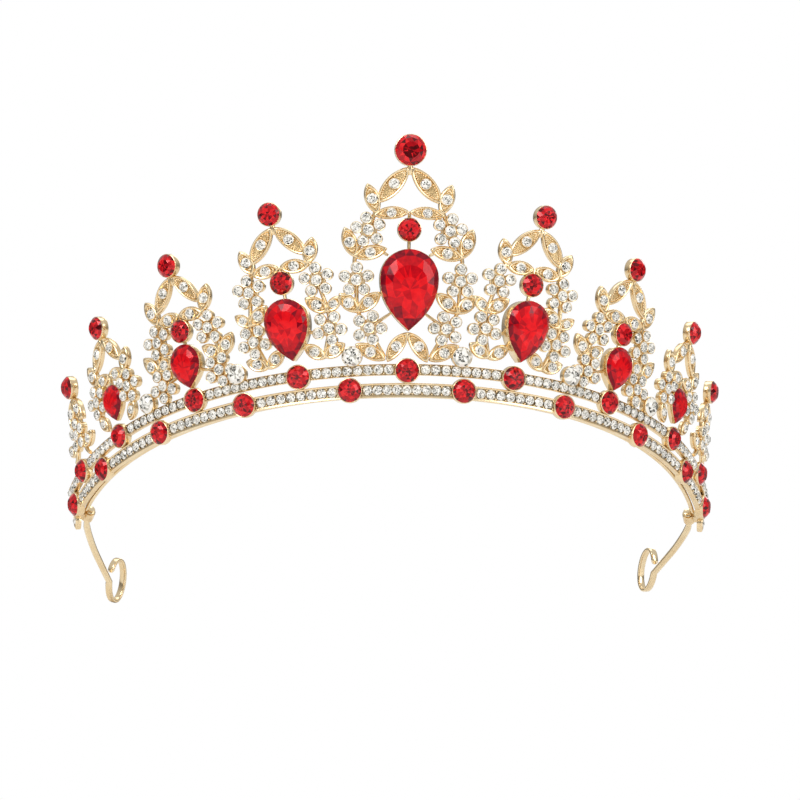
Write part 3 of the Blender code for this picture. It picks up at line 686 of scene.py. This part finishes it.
# Three copies of each glass, bright, middle and dark: painted light and shade standing in for the
# reflections inside foil-backed stones.
CLEAR_GLASS = (
    painted_facet_glass("clear_painted_light", (0.97, 0.95, 0.90), (0.88, 0.86, 0.79), 0.08, 0.1),
    painted_facet_glass("clear_painted_half_light", (0.60, 0.58, 0.52), (0.44, 0.42, 0.36), 0.08, 0.3),
    painted_facet_glass("clear_painted_shade", (0.09, 0.09, 0.075), (0.04, 0.04, 0.035), 0.06, 0.15),
)
RED_GLASS = (
    painted_facet_glass("red_painted_light", (0.80, 0.014, 0.018), (0.66, 0.008, 0.014), 0.1, 0.15),
    painted_facet_glass("red_painted_half_light", (0.48, 0.003, 0.008), (0.36, 0.002, 0.007), 0.1, 0.2),
    painted_facet_glass("red_painted_shade", (0.14, 0.001, 0.003), (0.07, 0.001, 0.003), 0.08, 0.2),
)
PEAR_GLASS = (
    painted_facet_glass("pear_painted_light", (0.80, 0.006, 0.010), (0.66, 0.003, 0.009), 0.12, 0.1, 0.35),
    painted_facet_glass("pear_painted_half_light", (0.56, 0.003, 0.009), (0.42, 0.002, 0.008), 0.12, 0.1, 0.35),
    painted_facet_glass("pear_painted_shade", (0.27, 0.001, 0.010), (0.15, 0.001, 0.008), 0.1, 0.1, 0.35),
)
GOLDS = (CAST_GOLD, SHADED_FIELD_GOLD)


# ---- Sub-parts -------------------------------------------------------------------------------
def crest_stations():
    """Each crest's number from the middle, label and station, the centre crest once."""
    for index, (place, lean) in enumerate(zip(CREST_STATIONS, CREST_LEANS)):
        for side, word in ((-1, "left"), (1, "right")):
            if index == 0 and side < 0:
                continue
            label = f"{word}_{index}" if index else "centre"
            yield index, label, Station(place, lean + side * CREST_TILT, side)


def pear_rim(half):
    """A pear-shaped bezel's rim, deeper for a larger stone."""
    slope, start, most = PEAR_RIM
    return min(most, slope * half + start)


def set_stone(name, place, radius, tones=RED_TONES, glass=RED_GLASS):
    """A round stone of its own in a cup."""
    shell = Shell()
    round_cut(shell, place, 0.0, 0.0, radius, CUP_RIM - GIRDLE_SINK, tones, RED_FACETS)
    shell.piece(f"{name}_cut", glass, "crown_front", (name,), smooth=None)


def build_crest(index, label, station):
    """One crest: its stones as pieces of their own, its casting and its small stones."""
    layout = CRESTS[index]
    shell = Shell()
    seeds = Shell()
    height = layout["top"]
    radius = RED_RADIUS if index else TOP_RADIUS
    seat = station.seat(0.0, height)
    cup(shell, seat, radius, CREST_LIP)
    set_stone(f"top_stone_{label}", seat, radius, RED_TONES if index else TOP_TONES)
    if layout["second"]:
        seat = station.seat(0.0, layout["second"])
        cup(shell, seat, RED_RADIUS, CREST_LIP)
        set_stone(f"second_stone_{label}", seat, RED_RADIUS)
    if layout["pear"]:
        middle, half, length = layout["pear"]
        seat = station.seat(0.0, middle)
        pear_cup(shell, seat, half, length, pear_rim(half))
        stone = Shell()
        pear_cut(stone, seat, half, length, pear_rim(half) - GIRDLE_SINK)
        stone.piece(f"pear_stone_{label}_cut", PEAR_GLASS, "crown_front",
                    (f"pear_stone_{label}",), smooth=None)
    for flip in (False, True):
        bar(shell, station, flip, layout["spine"], SPINE_BAR)
        for shape in layout["leaves"]:
            leaf(shell, seeds, station, flip, *shape)
        for start, end in layout["struts"]:
            if start[0] or not flip:
                bar(shell, station, flip, (start, end), STRUT_BAR)
        for centre, turn in layout["flowers"]:
            if centre[0] or not flip:
                flower(shell, seeds, station, centre, turn, flip)
    neck = ((0.0, height - radius - 2.0), (0.0, height - radius + 0.4))
    bar(shell, station, False, neck, NECK_BAR)
    shell.piece(f"crest_{label}_relief", GOLDS, "crown_front", (f"crest_{label}",))
    seeds.piece(f"crest_{label}_seeds", CLEAR_GLASS, "crown_front", (), smooth=None)


def rail_profile(low, high, channel):
    """A rail's section as (up, out): side walls with rounded edges round a sunken channel."""
    bottom, top = channel
    edge = RAIL_DEPTH
    return ((low, 0.1), (low + 0.1, 0.0), (high - 0.1, 0.0), (high, 0.1), (high, edge - 0.23),
            (high - 0.07, edge - 0.06), (high - 0.16, edge), (top + 0.05, edge - 0.08),
            (top, edge - 0.25), (top, edge - 0.55), (bottom, edge - 0.55), (bottom, edge - 0.25),
            (bottom - 0.05, edge - 0.08), (low + 0.16, edge), (low + 0.07, edge - 0.06),
            (low, edge - 0.23))


def rail(shell, edges, line, half):
    """A rail along the whole band, with a channel of the given half width along its line."""
    profile = rail_profile(*edges, (line - half, line + half))
    made = []
    for k in range(RAIL_STEPS + 1):
        here = Station(-RAIL_END + 2.0 * RAIL_END * k / RAIL_STEPS)
        made.append(shell.ring([here.bent(0.0, up, out) for up, out in profile]))
    count = len(profile)
    for before, after in zip(made, made[1:]):
        for k in range(count):
            n = (k + 1) % count
            # The channel's floor takes the field gold: painted shade for the sunken channel.
            tone = SHADED_FIELD if k == CHANNEL_FLOOR else GOLD
            shell.face((before[k], before[n], after[n], after[k]), tone)
    shell.face(list(reversed(made[0])))
    shell.face(made[-1])


def rail_seeds(shell, seeds, stops, line):
    """Rows of small stones between the cups on a rail, with grains in their gaps."""
    clear = RED_RADIUS + RAIL_LIP + 0.06
    away, sink, grain = RAIL_GRAIN
    height = RAIL_DEPTH - sink
    for start, end in zip(stops, stops[1:]):
        low = start + clear
        high = end - clear
        count = round((high - low) / RAIL_PITCH)
        if count < 1:
            continue
        pitch = (high - low) / count
        for k in range(count):
            here = Station(low + pitch * (k + 0.5))
            place = here.seat(0.0, line)
            girdle = RAIL_DEPTH - RAIL_SEED_SINK
            round_cut(seeds, place, 0.0, 0.0, RAIL_SEED_RADIUS, girdle)
            for up in (-away, away):
                bead(shell, place, 0.5 * pitch, up, height, grain)
                if k == 0:
                    bead(shell, place, -0.5 * pitch, up, height, grain)


def knuckle(shell, side):
    """The rolled tube behind each end of the lower rail, and the block that joins it on."""
    up_line, out_line = KNUCKLE_LINE
    start, end = KNUCKLE_SPAN
    front = Station(start, 0.0, side).bent(0.0, up_line, out_line)
    back = Station(end, 0.0, side).bent(0.0, up_line, out_line)
    axis = (back - front).normalized()
    up_axis = Vector((0.0, 0.0, 1.0))
    up_axis = (up_axis - axis * up_axis.dot(axis)).normalized()
    other = axis.cross(up_axis)
    length = (back - front).length / MM

    def place(along, x, y):
        return front + (axis * along + up_axis * x + other * y) * MM
    outer = KNUCKLE_RADIUS
    cut = KNUCKLE_CHAMFER
    section = ((KNUCKLE_BORE, 0.0), (outer - cut, 0.0), (outer, cut), (outer, length - cut),
               (outer - cut, length), (KNUCKLE_BORE, length))
    shell.loft([[place(along, x, y) for x, y in circle(radius, TUBE_SIDES)]
                for radius, along in section], closed=True)
    here = Station(start, 0.0, side)
    width = RAIL_END - start
    near, bottom, top = SOLDER_BLOCK
    rings = []
    for out, trim in ((0.3, 0.0), (-0.9, 0.0), (out_line + 0.7, 0.15)):
        low = up_line + bottom + trim
        high = up_line + top - trim
        rings.append([here.bent(x, y, out) for x, y in (
            (near + trim, low), (width - trim, low), (width - trim, high), (near + trim, high))])
    shell.loft(rings)


def build_band():
    """Both rails with everything set in them, the tails and the knuckles."""
    shell = Shell()
    seeds = Shell()
    rail(shell, UPPER_RAIL, UPPER_SEEDS, UPPER_CHANNEL)
    rail(shell, LOWER_RAIL, LOWER_SEEDS, LOWER_CHANNEL)
    upper = sorted({s * p for p in CREST_STATIONS for s in (-1, 1)})
    lower = sorted({s * p for p in LOWER_STATIONS for s in (-1, 1)})
    edge = RAIL_END + RED_RADIUS      # the end rows stop as if a cup stood past each end
    rail_seeds(shell, seeds, [-edge, *upper, edge], UPPER_SEEDS)
    rail_seeds(shell, seeds, [-edge, *lower, edge], LOWER_SEEDS)
    for index, label, station in crest_stations():
        place = Station(CREST_STATIONS[index], 0.0, station.side).seat(0.0, 0.0)
        cup(shell, place, RED_RADIUS, RAIL_LIP)
        set_stone(f"upper_stone_{label}", place, RED_RADIUS)
    for side, word in ((-1, "left"), (1, "right")):
        for index, where in enumerate(LOWER_STATIONS):
            place = Station(where, 0.0, side).seat(0.0, LOWER_LINE)
            cup(shell, place, RED_RADIUS, RAIL_LIP)
            set_stone(f"lower_stone_{word}_{index}", place, RED_RADIUS)
        for index, (where, up) in enumerate(ACCENTS):
            place = Station(where, 0.0, side).seat(0.0, up)
            cup(shell, place, ACCENT_RADIUS, CREST_LIP)
            name = f"clear_stone_{word}_{index}"
            set_stone(name, place, ACCENT_RADIUS, CLEAR_TONES, CLEAR_GLASS)
        leaf(shell, seeds, Station(RAIL_END, 0.0, side), False, *END_LEAF)
        knuckle(shell, side)
    shell.piece("band_relief", GOLDS, "crown_front", ("band_casting",))
    seeds.piece("band_seeds", CLEAR_GLASS, "crown_front", (), smooth=None)


def rounded_section(width, thickness, fullness):
    """A wire's section: an ellipse where fullness is 1, and closer to a box where it is less."""
    points = []
    for k in range(WIRE_SIDES):
        angle = 2.0 * math.pi * (k + 0.5) / WIRE_SIDES
        c = math.cos(angle)
        s = math.sin(angle)
        points.append((0.5 * width * math.copysign(abs(c) ** fullness, c),
                       0.5 * thickness * math.copysign(abs(s) ** fullness, s)))
    return points


def sweep(shell, path, sections, side_axis):
    """Carry a section along a path in millimetres, each point with its own section."""
    rings = []
    last = len(path) - 1
    for k, point in enumerate(path):
        ahead = (path[min(k + 1, last)] - path[max(k - 1, 0)]).normalized()
        side = (side_axis - ahead * side_axis.dot(ahead)).normalized()
        other = ahead.cross(side)
        rings.append([(point + side * x + other * y) * MM
                      for x, y in rounded_section(*sections[k])])
    shell.loft(rings)


def round_wire(radius):
    """A round wire's section, for rounded_section."""
    return (2.0 * radius, 2.0 * radius, 1.0)


def build_rim_wire():
    up, out = RIM_WIRE
    path = []
    for k in range(RIM_WIRE_STEPS + 1):
        here = Station(-RIM_WIRE_END + 2.0 * RIM_WIRE_END * k / RIM_WIRE_STEPS)
        path.append(here.bent(0.0, up, out) / MM)
    sections = [round_wire(RIM_WIRE_RADIUS)] * len(path)
    sections[0] = sections[-1] = round_wire(0.8 * RIM_WIRE_RADIUS)
    shell = Shell()
    sweep(shell, path, sections, Vector((0.0, 0.0, 1.0)))
    shell.piece("rim_wire_drawn", (DRAWN_GOLD,), "crown_front", ("rim_wire",))


def mixed(first, second, share):
    """A section between two others."""
    return tuple(a + (b - a) * share for a, b in zip(first, second))


def placed(inward, offset):
    """An (inward, back, up) offset as a vector of the frame."""
    inner, rear, rise = offset
    return inward * inner + Vector((0.0, rear, rise))


def build_arm(side):
    """A side arm: a headed pin in the knuckle, a bent wire, and a loop of flat strip."""
    up, out = KNUCKLE_LINE
    front, back = (Station(place, 0.0, side).bent(0.0, up, out) / MM for place in KNUCKLE_SPAN)
    axis = (back - front).normalized()
    inward = Vector((-side, 0.0, 0.0))
    exit_point = back + axis * ARM_PLAY
    knots = [exit_point] + [exit_point + placed(inward, bend) for bend in ARM_RUN]
    run = smooth_run(knots, ARM_STEPS)
    along = placed(inward, LOOP_ALONG).normalized()
    across = placed(inward, LOOP_ACROSS)
    across = (across - along * across.dot(along)).normalized()
    half_long, half_wide = LOOP_HALF
    middle = run[-1] + across * half_wide
    loop = []
    for k in range(1, LOOP_STEPS + 1):
        turn = LOOP_TURN * k / LOOP_STEPS
        loop.append(middle - across * (half_wide * math.cos(turn))
                    + along * (half_long * math.sin(turn)))
    head_length, head_radius = ARM_HEAD
    head = front - axis * ARM_PLAY
    path = [head - axis * head_length, head - axis * (head_length - 0.1), head - axis * 0.08,
            head, head + axis * 0.3, *run, *loop]
    pin = round_wire(ARM_PIN)
    wire = round_wire(ARM_BODY)
    strip = (*LOOP_STRIP, 0.55)
    upset = round_wire(head_radius)
    low_upset = round_wire(0.85 * head_radius)
    sections = [low_upset, upset, upset, low_upset, pin]
    flat_start = len(run) - 1 - FLAT_STEPS
    for k in range(len(run)):
        here = mixed(pin, wire, min(1.0, k / ARM_STEPS))
        sections.append(mixed(here, strip, min(1.0, max(0.0, (k - flat_start) / FLAT_STEPS))))
    rounded_end = [(1.5, 0.7, 0.6), (0.9, 0.44, 0.8)]
    sections += [strip] * (LOOP_STEPS - len(rounded_end)) + rounded_end
    swing = Matrix.Rotation(ARM_SWING[side], 3, axis)
    pivot = (front + back) * 0.5
    path = [pivot + swing @ (point - pivot) for point in path]
    shell = Shell()
    sweep(shell, path, sections, swing @ along.cross(across))
    word = "left" if side < 0 else "right"
    shell.piece(f"side_arm_{word}_drawn", (DRAWN_GOLD,), f"{word}_arm", (f"side_arm_{word}",))


# ---- Stage -----------------------------------------------------------------------------------
CAMERA_AIM = (3.84, 0.0, 1.51)        # from the pattern's origin, in millimetres
CAMERA_TURN = math.radians(-4.0)
CAMERA_RISE = math.radians(-5.97)
CAMERA_ROLL = math.radians(-0.1)
CAMERA_DISTANCE = 1.4
CAMERA_LENS = 267.9                   # in millimetres, for the sensor's width
CAMERA_SENSOR = 36.0
FLOOR_HALF = 3.0
LIGHT_AIM = (0.0, 0.0, 0.05)
# each soft box's place, size and power in watts
LIGHTS = {
    "key_light": ((-0.55, -0.75, 0.6), (0.5, 0.5), 4.6),
    "fill_light": ((0.7, -0.6, 0.35), (0.4, 0.6), 2.6),
    "top_light": ((0.0, 0.15, 0.9), (0.7, 0.5), 1.8),
    "back_light": ((0.3, 0.8, 0.5), (0.5, 0.4), 1.2),
}
STUDIO_STRENGTH = 0.68
# what the metal reflects, from straight down (0) over the horizon (0.5) to straight up (1)
STUDIO_GREYS = ((0.0, (0.75, 0.75, 0.75)), (0.42, (0.55, 0.55, 0.55)), (0.5, (0.20, 0.19, 0.18)),
                (0.62, (0.6, 0.6, 0.6)), (0.8, (1.0, 1.0, 1.0)))


def build_camera():
    """The photo's view: a long lens, from a little below and a few degrees to the left."""
    data = bpy.data.cameras.new("camera")
    data.lens = CAMERA_LENS
    data.sensor_width = CAMERA_SENSOR
    data.clip_start = 0.05
    data.clip_end = 20.0
    camera = bpy.data.objects.new("camera", data)
    back = Vector((math.sin(CAMERA_TURN) * math.cos(CAMERA_RISE),
                   -math.cos(CAMERA_TURN) * math.cos(CAMERA_RISE), math.sin(CAMERA_RISE)))
    camera.location = ORIGIN + Vector(CAMERA_AIM) * MM + back * CAMERA_DISTANCE
    turn = (-back).to_track_quat("-Z", "Y").to_matrix()
    camera.rotation_euler = (turn @ Matrix.Rotation(CAMERA_ROLL, 3, "Z")).to_euler()
    bpy.context.scene.collection.objects.link(camera)
    bpy.context.scene.camera = camera


def build_floor():
    """A plain pale floor, seen only from above, so that a low camera looks past it."""
    mesh = bpy.data.meshes.new("floor")
    half = FLOOR_HALF
    corners = [(-half, -half, 0.0), (half, -half, 0.0), (half, half, 0.0), (-half, half, 0.0)]
    mesh.from_pydata(corners, [], [(0, 1, 2, 3)])
    made, nodes, links, principled = shader("pale_floor", 0.6)
    principled.inputs["Base Color"].default_value = (0.9, 0.9, 0.9, 1.0)
    through = nodes.new("ShaderNodeBsdfTransparent")
    side = nodes.new("ShaderNodeNewGeometry")
    mix = nodes.new("ShaderNodeMixShader")
    links.new(side.outputs["Backfacing"], mix.inputs["Fac"])
    links.new(principled.outputs["BSDF"], mix.inputs[1])
    links.new(through.outputs["BSDF"], mix.inputs[2])
    links.new(mix.outputs["Shader"], nodes["Material Output"].inputs["Surface"])
    mesh.materials.append(made)
    floor = bpy.data.objects.new("floor", mesh)
    bpy.context.scene.collection.objects.link(floor)


def build_world():
    """White to the eye; to the metal, a studio with a bright ceiling and a darker horizon."""
    world = bpy.data.worlds.new("studio")
    bpy.context.scene.world = world
    world.use_nodes = True
    nodes = world.node_tree.nodes
    links = world.node_tree.links
    background = nodes["Background"]
    coords = nodes.new("ShaderNodeTexCoord")
    axes = nodes.new("ShaderNodeSeparateXYZ")
    links.new(coords.outputs["Generated"], axes.inputs["Vector"])
    height = span(nodes, links, axes.outputs["Z"], 0.0, 1.0, start=-1.0)
    links.new(ramp(nodes, links, height, STUDIO_GREYS), background.inputs["Color"])
    background.inputs["Strength"].default_value = STUDIO_STRENGTH
    seen = nodes.new("ShaderNodeBackground")
    seen.inputs["Color"].default_value = (1.0, 1.0, 1.0, 1.0)
    seen.inputs["Strength"].default_value = 1.0
    path = nodes.new("ShaderNodeLightPath")
    mix = nodes.new("ShaderNodeMixShader")
    links.new(path.outputs["Is Camera Ray"], mix.inputs["Fac"])
    links.new(background.outputs["Background"], mix.inputs[1])
    links.new(seen.outputs["Background"], mix.inputs[2])
    links.new(mix.outputs["Shader"], nodes["World Output"].inputs["Surface"])


def soft_box(name, place, size, power):
    data = bpy.data.lights.new(name, "AREA")
    data.shape = "RECTANGLE"
    data.size, data.size_y = size
    data.energy = power
    lamp = bpy.data.objects.new(name, data)
    lamp.location = place
    towards = Vector(LIGHT_AIM) - Vector(place)
    lamp.rotation_euler = towards.to_track_quat("-Z", "Y").to_euler()
    bpy.context.scene.collection.objects.link(lamp)


def main():
    build_band()
    for index, label, station in crest_stations():
        build_crest(index, label, station)
    build_rim_wire()
    for side in (-1, 1):
        build_arm(side)
    build_floor()
    build_world()
    for name, light in LIGHTS.items():
        soft_box(name, *light)
    build_camera()
    bpy.context.scene.view_settings.view_transform = "Standard"


main()
